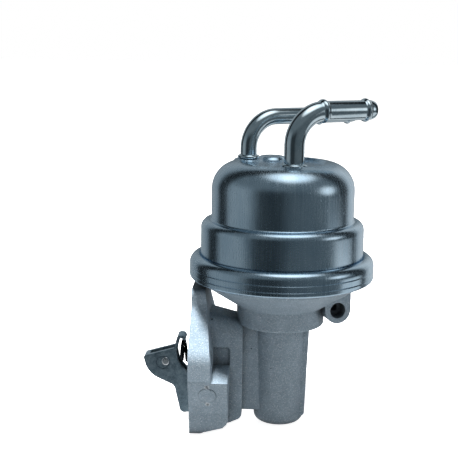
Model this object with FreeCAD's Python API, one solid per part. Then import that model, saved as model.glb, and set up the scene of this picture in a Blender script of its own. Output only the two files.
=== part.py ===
import FreeCAD, Part
import os
from math import acos, asin, atan2, cos, hypot, radians, sin, sqrt, tan

V = FreeCAD.Vector

# Mechanical fuel pump, in millimetres.
# Origin: middle of the two flange bolts, on the mating face.
# The engine is on the -X side, and the pump's upright axis lies on the +X side.

# Axes
pump_x = 42.5
ring_z = 41.0
pivot_x = 9.1
pivot_z = -16.2

# Clearances
running_gap = 0.05
press_gap = 0.02
loose_gap = 0.3
cut_reach = 5.0

# Crimp ring and the rims that it clamps, heights over the ring's middle
ring_radius = 44.5
ring_sheet = 1.2
ring_bottom = -5.4
ring_shoulder = 4.2
ring_hem = 1.6
ring_lip_width = 3.3
ring_groove_heights = (0.4, -2.6)
ring_groove_depth = 0.3
ring_groove_width = 0.6
rim_thickness = 3.4
diaphragm_thickness = 0.8
valve_flange_thickness = 2.6
seal_thickness = 0.9

# Cover
cover_sheet = 1.2
cover_fold = 0.8
step_inset = 5.3
step_height = 22.8
step_round = 4.0
dome_inset = 5.0
dome_height = 50.6
dome_round = 13.0
recess_radius = 20.6
recess_depth = 1.4
recess_slope = 1.2
recess_round = 0.8
hump_x = -6.0
hump_y = 19.0
hump_radius = 7.3
hump_height = 0.4
hump_round = 2.4

# Pipes
inlet_radius = 4.75
inlet_x = 4.8
inlet_y = -12.0
inlet_height = 75.1
inlet_bend = 15.5
inlet_turn = 30.0
inlet_end_x = 42.3
inlet_stop_bead_x = 17.8
inlet_end_bead_x = 38.1
outlet_radius = 4.0
outlet_x = -17.3
outlet_y = 13.6
outlet_height = 70.3
outlet_bend = 15.0
outlet_turn = 30.0
outlet_end_x = 36.0
outlet_stop_bead_x = 17.3
outlet_end_bead_x = 31.8
pipe_wall = 1.2
pipe_inside = 4.0
collar_width = 1.4
collar_height = 2.0
bead_width = 3.2
bead_rise = 0.9
bead_round = 0.8
nose_taper = 0.7
nose_length = 2.8
outlet_pad_drop = 0.5

# Bowl and column of the body
bowl_inset = 4.3
bowl_wall = 3.3
bowl_shoulder_height = -6.8
bowl_foot_radius = 21.4
bowl_foot_height = -19.0
bowl_bottom = -28.3
bowl_round = 2.5
bowl_ledge = 4.8
column_top_radius = 13.4
column_foot_radius = 12.1
column_bottom = -78.4
column_round = 3.5
column_bore = 8.0
column_bore_end = -73.8
rib_half_width = 6.5
rib_top_reach = 14.4
rib_foot_reach = 12.8
rib_cut = 4.0
web_half_width = 8.2
web_bottom = -30.4
link_slot_half_width = 6.3
link_slot_top = -7.0
link_slot_bottom = -27.0

# Flange and rocker housing, heights against the bolt line
bolt_spacing = 48.0
bolt_hole_radius = 4.3
ear_radius = 9.0
ear_thickness = 10.8
flange_top = 31.0
flange_top_half_width = 14.5
flange_top_thickness = 6.6
neck_height = 22.5
wall_edge_height = -8.7
wall_foot_half_width = 24.2
wall_foot_height = -26.7
foot_half_width = 23.0
foot_height = -38.7
block_depth = 18.7
block_top = -6.4
block_top_slope = 0.13
block_underside = ((0.0, -38.7), (4.6, -38.7), (7.0, -37.2), (11.3, -35.9), (16.1, -34.6), (18.0, -32.7))
block_back_height = -31.0
box_depth = 24.8
box_half_width = 13.5
box_roof_front = 20.6
box_roof_back = 14.4
box_bottom_front = -35.6
box_bottom_back = -32.8
box_round = 8.0
head_space_top = 2.6
head_space_depth = 1.5
head_space_round = 1.5
cavity_half_width = 9.0
cavity_depth = 21.6
cavity_top = 10.0
cavity_mouth_bottom = -36.2
cavity_mouth_depth = 6.0
cavity_bottom = -29.5

# Lug beside the bowl
lug_x = 27.4
lug_y = -12.0
lug_height = -18.8
lug_radius = 6.4
lug_length = 11.0
lug_turn = 18.0
lug_hole = 3.8
lug_hole_depth = 6.0
lug_inner_hole = 1.8
lug_inner_depth = 9.5

# Valves
valve_body_radius = 36.8
valve_recess_radius = 30.0
valve_web_bottom = 5.0
valve_web = 3.0
valve_pocket = 7.0
valve_seat = 1.5
valve_hole = 1.5
valve_hole_circle = 4.0
valve_hole_count = 5
valve_disc_radius = 6.0
valve_disc = 1.0
valve_stem_radius = 1.2
valve_head_radius = 3.2
valve_head = 0.6
valve_spring_length = 3.0
valve_spring_radius = 2.5
valve_spring_wire = 0.45
valve_spring_turns = 3.5
cup_radius = 10.0
cup_height = 34.0
cup_sheet = 1.0
cup_round = 3.0
cup_foot = 1.8

# Diaphragm, rod and seals
plate_sheet = 1.2
plate_radius = 18.0
plate_rim = 2.0
diaphragm_loop = 2.6
rod_radius = 2.5
rod_neck_radius = 2.0
rod_nut_radius = 4.6
rod_nut = 1.6
rod_rivet_radius = 3.0
rod_rivet = 0.9
rod_collar_radius = 6.8
rod_collar = 2.5
rod_tip_radius = 3.4
rod_tip = 1.2
seal_pocket_radius = 10.4
seal_pocket = 2.4
retainer_sheet = 1.0
retainer_radius = 15.5
retainer_rim = 2.4
spring_radius = 12.0
spring_wire = 2.2
spring_turns = 5.0

# Rocker arm, link and pivot
arm_sheet = 1.8
arm_half_width = 4.2
arm_eye = 7.2
arm_tail = 20.0
arm_tail_half_height = 2.9
arm_tail_top = 4.0
pin_radius = 4.0
pin_half_length = 24.5
bush_wall = 1.5
plug_radius = 4.2
plug_rise = 0.2
stake_radius = 0.8
stake_offset = 1.1
link_sheet = 1.6
link_eye = 6.6
link_tip = 3.0
link_web_start = 15.0
link_web_end = 23.0
arm_face = ((-24.6, -5.9, 1.0), (-22.5, -14.6, 12.0), (-9.2, -20.6, 3.0), (-6.0, -34.8, 2.5))
arm_toe = (1.0, -33.8, 3.0)
arm_back = ((-1.2, -15.6, 2.0), (-7.2, -9.0, 8.0), (-8.4, -1.2, 1.0))
cross_pin_x = -13.4
cross_pin_z = -8.2
cross_pin_radius = 1.6
cross_pin_head_radius = 2.1
cross_pin_head = 0.9
emboss_x = -15.0
emboss_z = -8.9
emboss_radius = 3.3
emboss_width = 0.5
emboss_depth = 0.25
tab_x = -10.0
tab_foot_z = -4.7
tab_lean = 2.2
tab_top_z = 5.1
tab_curl = 2.1
tab_sheet = 1.5
tab_end_drop = 0.1
return_spring_radius = 5.0
return_spring_wire = 1.7
return_spring_turns = 5.5
return_spring_z = -3.6
return_spring_start = -6.7

# Heights of the clamped stack, from the ring's bottom lip upwards
rim_bottom = ring_bottom + ring_sheet
rim_top = rim_bottom + rim_thickness
diaphragm_top = rim_top + diaphragm_thickness
valve_flange_top = diaphragm_top + valve_flange_thickness
seal_top = valve_flange_top + seal_thickness
cover_flange_top = seal_top + cover_sheet
ring_top = cover_flange_top + ring_sheet

# Radii that the ring sets
ring_inside = ring_radius - ring_sheet
rim_radius = ring_inside - loose_gap
skirt_radius = ring_inside
skirt_inside = skirt_radius - cover_sheet
step_radius = ring_radius - step_inset
dome_radius = step_radius - dome_inset
bowl_radius = ring_radius - bowl_inset
bowl_mouth = bowl_radius - bowl_ledge

# Mechanism heights and reaches
lever_reach = pump_x - pivot_x
pivot_height = pivot_z - ring_z
collar_top = pivot_height - link_tip - running_gap
ear_y = bolt_spacing / 2


def unit(u, v):
    """Direction of (u, v), one long."""
    length = hypot(u, v)
    return u / length, v / length


def rounded_wire(corners, place):
    """Closed wire through corners (u, v, radius), each rounded to its radius."""
    spans = []
    for i, (u, v, radius) in enumerate(corners):
        back = corners[i - 1]
        ahead = corners[(i + 1) % len(corners)]
        a = unit(back[0] - u, back[1] - v)
        b = unit(ahead[0] - u, ahead[1] - v)
        half = acos(max(-1.0, min(1.0, a[0] * b[0] + a[1] * b[1]))) / 2
        if radius <= 0:
            spans.append(((u, v), None, (u, v)))
            continue
        run = radius / tan(half)
        middle = unit(a[0] + b[0], a[1] + b[1])
        depth = radius / sin(half) - radius
        spans.append((
            (u + a[0] * run, v + a[1] * run),
            (u + middle[0] * depth, v + middle[1] * depth),
            (u + b[0] * run, v + b[1] * run),
        ))
    edges = []
    for i, (start, middle, end) in enumerate(spans):
        if middle:
            edges.append(Part.Arc(place(*start), place(*middle), place(*end)).toShape())
        following = spans[(i + 1) % len(spans)][0]
        if hypot(following[0] - end[0], following[1] - end[1]) > 1e-6:
            edges.append(Part.makeLine(place(*end), place(*following)))
    return Part.Wire(edges)


def offset_path(path, distance):
    """Path at a distance to the left of an open path of corners (u, v, radius)."""
    steps = [unit(b[0] - a[0], b[1] - a[1]) for a, b in zip(path, path[1:])]
    moved = []
    for i, (u, v, radius) in enumerate(path):
        before = steps[max(i - 1, 0)]
        after = steps[min(i, len(steps) - 1)]
        turn = before[0] * after[1] - before[1] * after[0]
        share = distance / (1 + before[0] * after[0] + before[1] * after[1])
        shift_u = -(before[1] + after[1]) * share
        shift_v = (before[0] + after[0]) * share
        moved_radius = radius - distance if turn > 0 else radius + distance
        moved.append((u + shift_u, v + shift_v, max(moved_radius, 0.0) if radius else 0.0))
    return moved


def sheet(path, thickness):
    """Closed outline of a formed sheet with one face on the path and the other to its left."""
    return path + offset_path(path, thickness)[::-1]


def turned(corners, x=0.0, y=0.0):
    """Solid turned about an upright axis at (x, y) from the pump axis, heights from the ring."""
    centre = V(pump_x + x, y, 0)
    face = Part.Face(rounded_wire(corners, lambda r, h: V(centre.x + r, y, ring_z + h)))
    return face.revolve(centre, V(0, 0, 1), 360)


def side_prism(corners, half_width):
    """Solid with its outline in X and Z, and the same reach to both sides."""
    face = Part.Face(rounded_wire(corners, lambda x, z: V(x, -half_width, z)))
    return face.extrude(V(0, 2 * half_width, 0))


def front_prism(corners, start, end):
    """Solid with its outline in Y and Z, between two distances from the mating face."""
    face = Part.Face(rounded_wire(corners, lambda y, z: V(start, y, z)))
    return face.extrude(V(end - start, 0, 0))


def cross_bar(radius, x, z, start, end):
    """Round bar along Y."""
    return Part.makeCylinder(radius, end - start, V(x, start, z), V(0, 1, 0))


def upright_bar(radius, bottom, top, x=0.0, y=0.0):
    """Round upright bar at (x, y) from the pump axis, heights from the ring."""
    return Part.makeCylinder(radius, top - bottom, V(pump_x + x, y, ring_z + bottom))


def coil(radius, wire, length, turns):
    """Coil spring along +Z from the origin, with the wire inside its length."""
    rise = length - wire
    helix = Part.makeHelix(rise / turns, rise, radius)
    section = Part.Wire(Part.makeCircle(wire / 2, V(radius, 0, 0), V(0, 1, 0)))
    spring = Part.Wire(helix.Edges).makePipeShell([section], True, True)
    spring.translate(V(0, 0, wire / 2))
    return spring


def cover():
    """Drawn cover: skirt, flange, step, dome and recessed top with its pipe seats and hump."""
    path = [
        (skirt_radius, diaphragm_top + loose_gap, 0),
        (skirt_radius, cover_flange_top, ring_shoulder - ring_sheet),
        (step_radius, cover_flange_top, cover_fold),
        (step_radius, step_height, step_round),
        (dome_radius, step_height, cover_fold),
        (dome_radius, dome_height, dome_round),
        (recess_radius, dome_height, recess_round),
        (recess_radius - recess_slope, dome_height - recess_depth, recess_round),
        (0, dome_height - recess_depth, 0),
    ]
    shell = turned(sheet(path, cover_sheet))
    hump = [
        (0, dome_height - cover_sheet - recess_depth, 0),
        (hump_radius, dome_height - cover_sheet - recess_depth, 0),
        (hump_radius, dome_height + hump_height, hump_round),
        (0, dome_height + hump_height, 0),
    ]
    hollow = [
        (0, dome_height - cover_sheet - recess_depth - 1, 0),
        (hump_radius - cover_sheet, dome_height - cover_sheet - recess_depth - 1, 0),
        (hump_radius - cover_sheet, dome_height + hump_height - cover_sheet, hump_round - cover_sheet),
        (0, dome_height + hump_height - cover_sheet, 0),
    ]
    shell = shell.fuse(turned(hump, hump_x, hump_y)).cut(turned(hollow, hump_x, hump_y))
    pad_top = dome_height - outlet_pad_drop
    pad_radius = outlet_radius + collar_width + cover_sheet
    pad = upright_bar(pad_radius, pad_top - 2 * cover_sheet, pad_top, outlet_x, outlet_y)
    under_pad = upright_bar(pad_radius - cover_sheet, pad_top - 4 * cover_sheet, pad_top - cover_sheet,
                            outlet_x, outlet_y)
    over_pad = upright_bar(pad_radius, pad_top, pad_top + 2 * cover_sheet, outlet_x, outlet_y)
    shell = shell.fuse(pad).cut(under_pad).cut(over_pad)
    hole_bottom = dome_height - pipe_inside - cut_reach
    hole_top = dome_height + cut_reach
    shell = shell.cut(upright_bar(inlet_radius, hole_bottom, hole_top, inlet_x, inlet_y))
    return shell.cut(upright_bar(outlet_radius, hole_bottom, hole_top, outlet_x, outlet_y))


def crimp_ring():
    """Rolled ring over the cover's flange and under the body's rim, with fine rolled lines."""
    lip_radius = step_radius + cover_fold
    path = [
        (ring_radius - ring_lip_width, ring_bottom, 0),
        (ring_radius, ring_bottom, ring_hem),
        (ring_radius, ring_top, ring_shoulder),
        (lip_radius, ring_top, 0),
    ]
    ring = turned(sheet(path, ring_sheet))
    for height in ring_groove_heights:
        groove = [
            (ring_radius - ring_groove_depth, height, 0),
            (ring_radius + 1, height - ring_groove_width, 0),
            (ring_radius + 1, height + ring_groove_width, 0),
        ]
        ring = ring.cut(turned(groove))
    return ring


def pipe_path(x, y, height, bend, turn, bottom, end_x):
    """Centre line of a bent pipe: up from the bottom, round the bend and out to the hose end."""
    ahead = V(cos(radians(turn)), sin(radians(turn)), 0)
    foot = V(pump_x + x, y, ring_z + bottom)
    bend_start = V(pump_x + x, y, ring_z + height - bend)
    bend_centre = bend_start + ahead * bend
    bend_middle = bend_centre + (V(0, 0, 1) - ahead) * (bend * sqrt(0.5))
    bend_end = bend_centre + V(0, 0, bend)
    end = V(pump_x + x, y, ring_z + height) + ahead * ((end_x - x) / ahead.x)
    edges = [
        Part.makeLine(foot, bend_start),
        Part.Arc(bend_start, bend_middle, bend_end).toShape(),
        Part.makeLine(bend_end, end),
    ]
    return Part.Wire(edges), end, ahead


def bent_pipe(radius, x, y, height, bend, turn, bottom, seat, end_x, bead_places):
    """Steel pipe with a collar on the cover, rolled beads and a tapered end."""
    path, end, ahead = pipe_path(x, y, height, bend, turn, bottom, end_x)
    foot = V(pump_x + x, y, ring_z + bottom)
    outside = Part.Face(Part.Wire(Part.makeCircle(radius, foot, V(0, 0, 1))))
    inside = Part.Face(Part.Wire(Part.makeCircle(radius - pipe_wall, foot, V(0, 0, 1))))
    pipe = path.makePipe(outside)
    collar = [
        (0, seat, 0),
        (radius + collar_width, seat, 0.6),
        (radius + collar_width, seat + collar_height, 0.9),
        (0, seat + collar_height, 0),
    ]
    pipe = pipe.fuse(turned(collar, x, y))
    for place in bead_places:
        bead = [
            (0, -bead_width / 2, 0),
            (radius - 0.01, -bead_width / 2, 0),
            (radius + bead_rise, 0, bead_round),
            (radius - 0.01, bead_width / 2, 0),
            (0, bead_width / 2, 0),
        ]
        ring = Part.Face(rounded_wire(bead, lambda r, h: V(r, 0, h))).revolve(V(), V(0, 0, 1), 360)
        ring.Placement = FreeCAD.Placement(end - ahead * ((end_x - place) / ahead.x),
                                           FreeCAD.Rotation(V(0, 0, 1), ahead))
        pipe = pipe.fuse(ring)
    trim = [
        (radius - nose_taper, 0.01, 0),
        (radius + 2, 0.01, 0),
        (radius + 2, -nose_length, 0),
        (radius, -nose_length, 0),
    ]
    cone = Part.Face(rounded_wire(trim, lambda r, h: V(r, 0, h))).revolve(V(), V(0, 0, 1), 360)
    cone.Placement = FreeCAD.Placement(end, FreeCAD.Rotation(V(0, 0, 1), ahead))
    return pipe.cut(cone).cut(path.makePipe(inside))


def inlet_pipe():
    """Larger pipe at the front of the cover."""
    seat = dome_height - recess_depth
    bottom = seat - cover_sheet - pipe_inside
    return bent_pipe(inlet_radius, inlet_x, inlet_y, inlet_height, inlet_bend, inlet_turn, bottom, seat,
                     inlet_end_x, (inlet_stop_bead_x, inlet_end_bead_x))


def outlet_pipe():
    """Smaller pipe at the back, which goes on down into the outlet cup."""
    seat = dome_height - outlet_pad_drop
    bottom = cup_height - cup_sheet - 1
    return bent_pipe(outlet_radius, outlet_x, outlet_y, outlet_height, outlet_bend, outlet_turn, bottom, seat,
                     outlet_end_x, (outlet_stop_bead_x, outlet_end_bead_x))


def cover_seal():
    """Flat rubber ring between the cover's flange and the valve body."""
    outer = skirt_inside - ring_shoulder + ring_sheet + cover_sheet
    inner = step_radius - cover_sheet - 0.5
    return upright_bar(outer, valve_flange_top, seal_top).cut(upright_bar(inner, valve_flange_top, seal_top))


def valve_body():
    """Cast disc with a clamped flange, a hollow underside and two valve pockets."""
    web_top = valve_web_bottom + valve_web
    corners = [
        (0, valve_web_bottom, 0),
        (valve_recess_radius, valve_web_bottom, 2.0),
        (valve_recess_radius, diaphragm_top, 0),
        (skirt_inside - loose_gap, diaphragm_top, 0),
        (skirt_inside - loose_gap, valve_flange_top, 0),
        (valve_body_radius, valve_flange_top, 0),
        (valve_body_radius, web_top, 1.0),
        (0, web_top, 0),
    ]
    body = turned(corners)
    for x, y in ((outlet_x, outlet_y), (-outlet_x, -outlet_y)):
        body = body.cut(upright_bar(valve_pocket, valve_web_bottom - 1, web_top + 1, x, y))
    return body


def outlet_cup():
    """Drawn cup over the outlet valve, brazed to the outlet pipe's inner end."""
    web_top = valve_web_bottom + valve_web
    path = [
        (cup_radius + cup_foot, web_top + cup_sheet, 0),
        (cup_radius, web_top + cup_sheet, 0.6),
        (cup_radius, cup_height, cup_round),
        (outlet_radius, cup_height, 0),
    ]
    return turned(sheet(path, cup_sheet), outlet_x, outlet_y)


def valve_pieces(x, y, flow):
    """Seat, disc, spring and stem of one valve, which opens upwards or downwards with flow."""
    middle = valve_web_bottom + valve_web / 2
    seat_far = middle - flow * valve_web / 2
    seat_near = seat_far + flow * valve_seat
    disc_near = seat_near + flow * valve_disc
    head_far = disc_near + flow * valve_spring_length
    head_near = head_far + flow * valve_head

    def bar(radius, a, b):
        return upright_bar(radius, min(a, b), max(a, b), x, y)

    seat = bar(valve_pocket, seat_far, seat_near).cut(bar(valve_stem_radius, seat_far, seat_near))
    for i in range(valve_hole_count):
        angle = radians(360 * i / valve_hole_count)
        hole = upright_bar(valve_hole, middle - valve_web, middle + valve_web,
                           x + valve_hole_circle * cos(angle), y + valve_hole_circle * sin(angle))
        seat = seat.cut(hole)
    disc = bar(valve_disc_radius, seat_near, disc_near)
    disc = disc.cut(bar(valve_stem_radius + running_gap, seat_near, disc_near))
    stem = bar(valve_stem_radius, seat_far, head_near).fuse(bar(valve_head_radius, head_far, head_near))
    stem = stem.fuse(bar(valve_stem_radius + valve_head, seat_far, seat_far - flow * valve_head))
    spring = coil(valve_spring_radius, valve_spring_wire, valve_spring_length, valve_spring_turns)
    spring.translate(V(pump_x + x, y, ring_z + min(disc_near, head_far)))
    return seat, disc, spring, stem


def diaphragm():
    """Rubber-coated fabric disc, clamped at its rim, with a slack loop outside the plates."""
    inner_rim = bowl_mouth - 2
    middle = (plate_radius + inner_rim) / 2
    path = [
        (rod_neck_radius, rim_top, 0),
        (plate_radius + 1, rim_top, 2.5),
        (middle, rim_top - diaphragm_loop, 2.2),
        (inner_rim, rim_top, 2.5),
        (rim_radius, rim_top, 0),
    ]
    return turned(sheet(path, diaphragm_thickness))


def diaphragm_plates():
    """Upper and lower steel plates that hold the diaphragm's middle between them."""
    upper = [
        (rod_neck_radius, diaphragm_top, 0),
        (plate_radius - plate_rim, diaphragm_top, 2.5),
        (plate_radius, diaphragm_top + plate_rim, 0),
    ]
    lower = [
        (plate_radius - 1, rim_top - plate_sheet - plate_rim, 0),
        (plate_radius - 1 - plate_rim, rim_top, 2.5),
        (rod_neck_radius, rim_top, 0),
    ]
    return turned(sheet(upper, plate_sheet)), turned(sheet(lower, plate_sheet))


def pull_rod():
    """Rod with a thinner riveted neck through the plates and a riveted tip under its collar."""
    shoulder = rim_top - plate_sheet
    nut_top = diaphragm_top + plate_sheet + rod_nut
    tip_top = collar_top - rod_collar
    rod = upright_bar(rod_radius, tip_top, shoulder)
    rod = rod.fuse(upright_bar(rod_neck_radius, shoulder, nut_top))
    rod = rod.fuse(upright_bar(rod_rivet_radius, nut_top, nut_top + rod_rivet))
    return rod.fuse(upright_bar(rod_tip_radius, tip_top - rod_tip, tip_top))


def rod_nut_washer():
    """Thick washer that the rod's neck is riveted over."""
    bottom = diaphragm_top + plate_sheet
    washer = upright_bar(rod_nut_radius, bottom, bottom + rod_nut)
    return washer.cut(upright_bar(rod_neck_radius, bottom, bottom + rod_nut))


def rod_end_collar():
    """Collar at the rod's lower end, which the link's fork pulls down."""
    collar = upright_bar(rod_collar_radius, collar_top - rod_collar, collar_top)
    return collar.cut(upright_bar(rod_radius, collar_top - rod_collar, collar_top))


def rod_seal():
    """Rubber seal round the rod, in its pocket in the bowl's floor."""
    floor = bowl_bottom + bowl_wall
    seal = upright_bar(seal_pocket_radius - press_gap, floor - seal_pocket, floor)
    return seal.cut(upright_bar(rod_radius + running_gap, floor - seal_pocket, floor))


def seal_retainer():
    """Pressed washer over the seal, turned up round the spring's foot."""
    floor = bowl_bottom + bowl_wall
    path = [
        (rod_radius + 2 * loose_gap, floor, 0),
        (retainer_radius, floor, 1.6),
        (retainer_radius, floor + retainer_rim, 0),
    ]
    return turned(sheet(path, retainer_sheet))


def diaphragm_spring():
    """Coil spring that pushes the diaphragm up."""
    bottom = bowl_bottom + bowl_wall + retainer_sheet
    top = rim_top - plate_sheet
    spring = coil(spring_radius, spring_wire, top - bottom, spring_turns)
    spring.translate(V(pump_x, 0, ring_z + bottom))
    return spring


def bowl_path():
    """Outer line of the bowl from its floor's middle to its rim."""
    return [
        (0, bowl_bottom, 0),
        (bowl_foot_radius - 0.2, bowl_bottom, 0.8),
        (bowl_foot_radius, bowl_foot_height, 0.6),
        (bowl_radius, bowl_shoulder_height, bowl_round),
        (bowl_radius + 0.8, rim_top, 0),
    ]


def flange_outline():
    """Outline of the flange in Y and Z."""
    to_ear = hypot(ear_y - flange_top_half_width, neck_height)
    slope = atan2(neck_height, ear_y - flange_top_half_width) - asin(ear_radius / to_ear)
    ear_edge = ear_y + ear_radius
    ear_corner = neck_height - (ear_edge - flange_top_half_width) * tan(slope)
    half = [
        (flange_top_half_width, flange_top, 3.0),
        (flange_top_half_width, neck_height, 4.0),
        (ear_edge, ear_corner, ear_radius),
        (ear_edge, wall_edge_height, 1.5),
        (wall_foot_half_width, wall_foot_height, 4.0),
        (foot_half_width, foot_height, 3.0),
    ]
    return half + [(-y, z, radius) for y, z, radius in half[::-1]]


def over_underside(top):
    """Outline in X and Z from the underside of the flange and pivot block up to a height."""
    return [
        (0, top, 0),
        (block_depth, top, 0),
        (block_depth, block_back_height, 0.5),
    ] + [(x, z, 1.0) for x, z in block_underside[:0:-1]] + [(*block_underside[0], 0)]


def flange():
    """Mating flange, which thickens from its top down to the bolt ears."""
    plate = front_prism(flange_outline(), 0, ear_thickness)
    wide = ear_y + ear_radius + cut_reach
    upper_cut = [
        (flange_top_thickness, flange_top + cut_reach, 0),
        (flange_top_thickness, flange_top, 0),
        (ear_thickness, 0, 0),
        (ear_thickness + cut_reach, 0, 0),
        (ear_thickness + cut_reach, flange_top + cut_reach, 0),
    ]
    return plate.common(side_prism(over_underside(flange_top + cut_reach), wide)).cut(side_prism(upper_cut, wide))


def pivot_block():
    """Deep lower block behind the flange, which carries the rocker pivot."""
    block = front_prism(flange_outline(), 0, block_depth)
    wide = ear_y + ear_radius + cut_reach
    side_top = block_top - block_top_slope * (wide - box_half_width)
    under_top = [
        (-wide, side_top, 0),
        (-box_half_width, block_top, 0),
        (box_half_width, block_top, 0),
        (wide, side_top, 0),
        (wide, foot_height - cut_reach, 0),
        (-wide, foot_height - cut_reach, 0),
    ]
    block = block.common(front_prism(under_top, 0, block_depth))
    return block.common(side_prism(over_underside(block_top + cut_reach), wide))


def bolt_head_spaces():
    """Pockets in the housing's side walls behind the ears, which leave room for the bolt heads."""
    corners = [
        (ear_thickness, head_space_top, 0),
        (block_depth, head_space_top, head_space_round),
        (block_depth, box_bottom_back, 0),
        (ear_thickness, box_bottom_back, 0),
    ]
    wall = box_half_width - head_space_depth
    return side_prism(corners, box_half_width + 1).cut(side_prism(corners, wall))


def wall_reach(z):
    """Distance of the flange's slanting side wall from the middle, at a height."""
    share = (wall_edge_height - z) / (wall_edge_height - wall_foot_height)
    ear_edge = ear_y + ear_radius
    return ear_edge - share * (ear_edge - wall_foot_half_width)


def housing_box():
    """Rocker housing between the flange and the column, with a sloping rounded roof."""
    section = [
        (-box_half_width, box_roof_front, box_round),
        (box_half_width, box_roof_front, box_round),
        (box_half_width, foot_height - cut_reach, 0),
        (-box_half_width, foot_height - cut_reach, 0),
    ]
    roof = Part.Face(rounded_wire(section, lambda y, z: V(0, y, z)))
    box = roof.extrude(V(box_depth, 0, box_roof_back - box_roof_front))
    side = [
        (0, box_roof_front + 1, 0),
        (box_depth, box_roof_front + 1, 0),
        (box_depth, box_bottom_back, 3.5),
        (block_depth, box_bottom_front, 1.0),
        (0, foot_height + 1, 0),
    ]
    return box.common(side_prism(side, box_half_width + 1)).cut(bolt_head_spaces())


def lug():
    """Drilled lug under the bowl's edge: round below and straight up to the bowl."""
    side = V(cos(radians(lug_turn)), sin(radians(lug_turn)), 0)
    back = V(-sin(radians(lug_turn)), cos(radians(lug_turn)), 0)
    centre = V(pump_x + lug_x, lug_y, ring_z + lug_height)
    rise = bowl_shoulder_height + 3 - lug_height
    corners = [
        (-lug_radius, -lug_radius, lug_radius - 0.01),
        (lug_radius, -lug_radius, lug_radius - 0.01),
        (lug_radius, rise, 0),
        (-lug_radius, rise, 0),
    ]
    face = Part.Face(rounded_wire(corners, lambda u, h: centre + side * u + V(0, 0, h)))
    return face.extrude(back * lug_length)


def lug_holes():
    """Stepped hole in the lug, from its front face backwards."""
    back = V(-sin(radians(lug_turn)), cos(radians(lug_turn)), 0)
    centre = V(pump_x + lug_x, lug_y, ring_z + lug_height)
    mouth = Part.makeCylinder(lug_hole, lug_hole_depth + 1, centre - back, back)
    return mouth.fuse(Part.makeCylinder(lug_inner_hole, lug_inner_depth + 1, centre - back, back))


def column():
    """Tapered column under the bowl, its side rib and the web that joins it to the housing."""
    taper = turned([
        (0, bowl_bottom + 1, 0),
        (column_top_radius, bowl_bottom + 1, 0),
        (column_foot_radius, column_bottom, column_round),
        (0, column_bottom, 0),
    ])
    top = ring_z + bowl_bottom + 1
    foot = ring_z + column_bottom
    rib = side_prism([
        (pump_x, top, 0),
        (pump_x + rib_top_reach, top, 0),
        (pump_x + rib_foot_reach, foot + rib_cut + 1, 1.0),
        (pump_x + rib_foot_reach - rib_cut, foot + 1, 1.0),
        (pump_x, foot + 1, 0),
    ], rib_half_width)
    web = side_prism([
        (box_depth - 1, top - 1, 0),
        (pump_x, top - 1, 0),
        (pump_x, web_bottom, 0),
        (box_depth - 1, web_bottom, 0),
    ], web_half_width)
    return taper.fuse(rib).fuse(web)


def lower_body():
    """Die-cast body: bowl, column, web, rocker housing, flange, pivot block and lug in one."""
    rim = turned([
        (0, rim_bottom, 0),
        (rim_radius, rim_bottom, ring_hem - ring_sheet + loose_gap),
        (rim_radius, rim_top, 0),
        (0, rim_top, 0),
    ])
    bowl = turned(bowl_path() + [(0, rim_top, 0)])
    body = bowl.fuse([rim, column(), housing_box(), flange(), pivot_block(), lug()])
    hollow = turned(offset_path(bowl_path(), bowl_wall)[:-1] + [
        (bowl_mouth, bowl_shoulder_height + 3, 1.0),
        (bowl_mouth, rim_top + 1, 0),
        (0, rim_top + 1, 0),
    ])
    floor = bowl_bottom + bowl_wall
    cuts = [hollow]
    cuts.append(upright_bar(column_bore, column_bore_end, floor + 1))
    cuts.append(upright_bar(seal_pocket_radius, floor - seal_pocket, floor + 1))
    cuts.append(side_prism([
        (cavity_depth - 1, link_slot_top, 0),
        (pump_x, link_slot_top, 0),
        (pump_x, link_slot_bottom, 0),
        (cavity_depth - 1, link_slot_bottom, 0),
    ], link_slot_half_width))
    cuts.append(side_prism([
        (-1, cavity_top, 0),
        (cavity_depth, cavity_top, 2.0),
        (cavity_depth, cavity_bottom, 2.0),
        (cavity_mouth_depth, cavity_bottom, 0),
        (cavity_mouth_depth, cavity_mouth_bottom, 2.0),
        (-1, cavity_mouth_bottom, 0),
    ], cavity_half_width))
    for side in (-1, 1):
        cuts.append(Part.makeCylinder(bolt_hole_radius, ear_thickness + 2, V(-1, side * ear_y, 0), V(1, 0, 0)))
        for up in (-1, 1):
            stake_z = pivot_z + up * (plug_radius + stake_offset)
            cuts.append(Part.makeSphere(stake_radius, V(pivot_x, side * wall_reach(stake_z), stake_z)))
    plug_seat = pin_half_length + loose_gap
    bore_end = ear_y + ear_radius
    cuts.append(cross_bar(plug_radius, pivot_x, pivot_z, plug_seat, bore_end))
    cuts.append(cross_bar(plug_radius, pivot_x, pivot_z, -bore_end, -plug_seat))
    cuts.append(cross_bar(pin_radius + press_gap, pivot_x, pivot_z, -plug_seat, plug_seat))
    cuts.append(lug_holes())
    return body.cut(cuts).removeSplitter()


def arm_outline():
    """Outer line of the arm's side plates in X and Z: cam face, toe, eye and back edge."""
    return [*arm_face, arm_toe, (pivot_x - 1, pivot_z, 0), *arm_back]


def tab_path():
    """Back face of the spring tab, from its foot up and over its curl."""
    return [
        (tab_x, tab_foot_z, 0),
        (tab_x + tab_lean, tab_top_z, tab_curl),
        (tab_x + tab_lean + 2 * tab_curl, tab_top_z, tab_curl),
        (tab_x + tab_lean + 2 * tab_curl, tab_top_z - tab_curl - tab_end_drop, 0),
    ]


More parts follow.
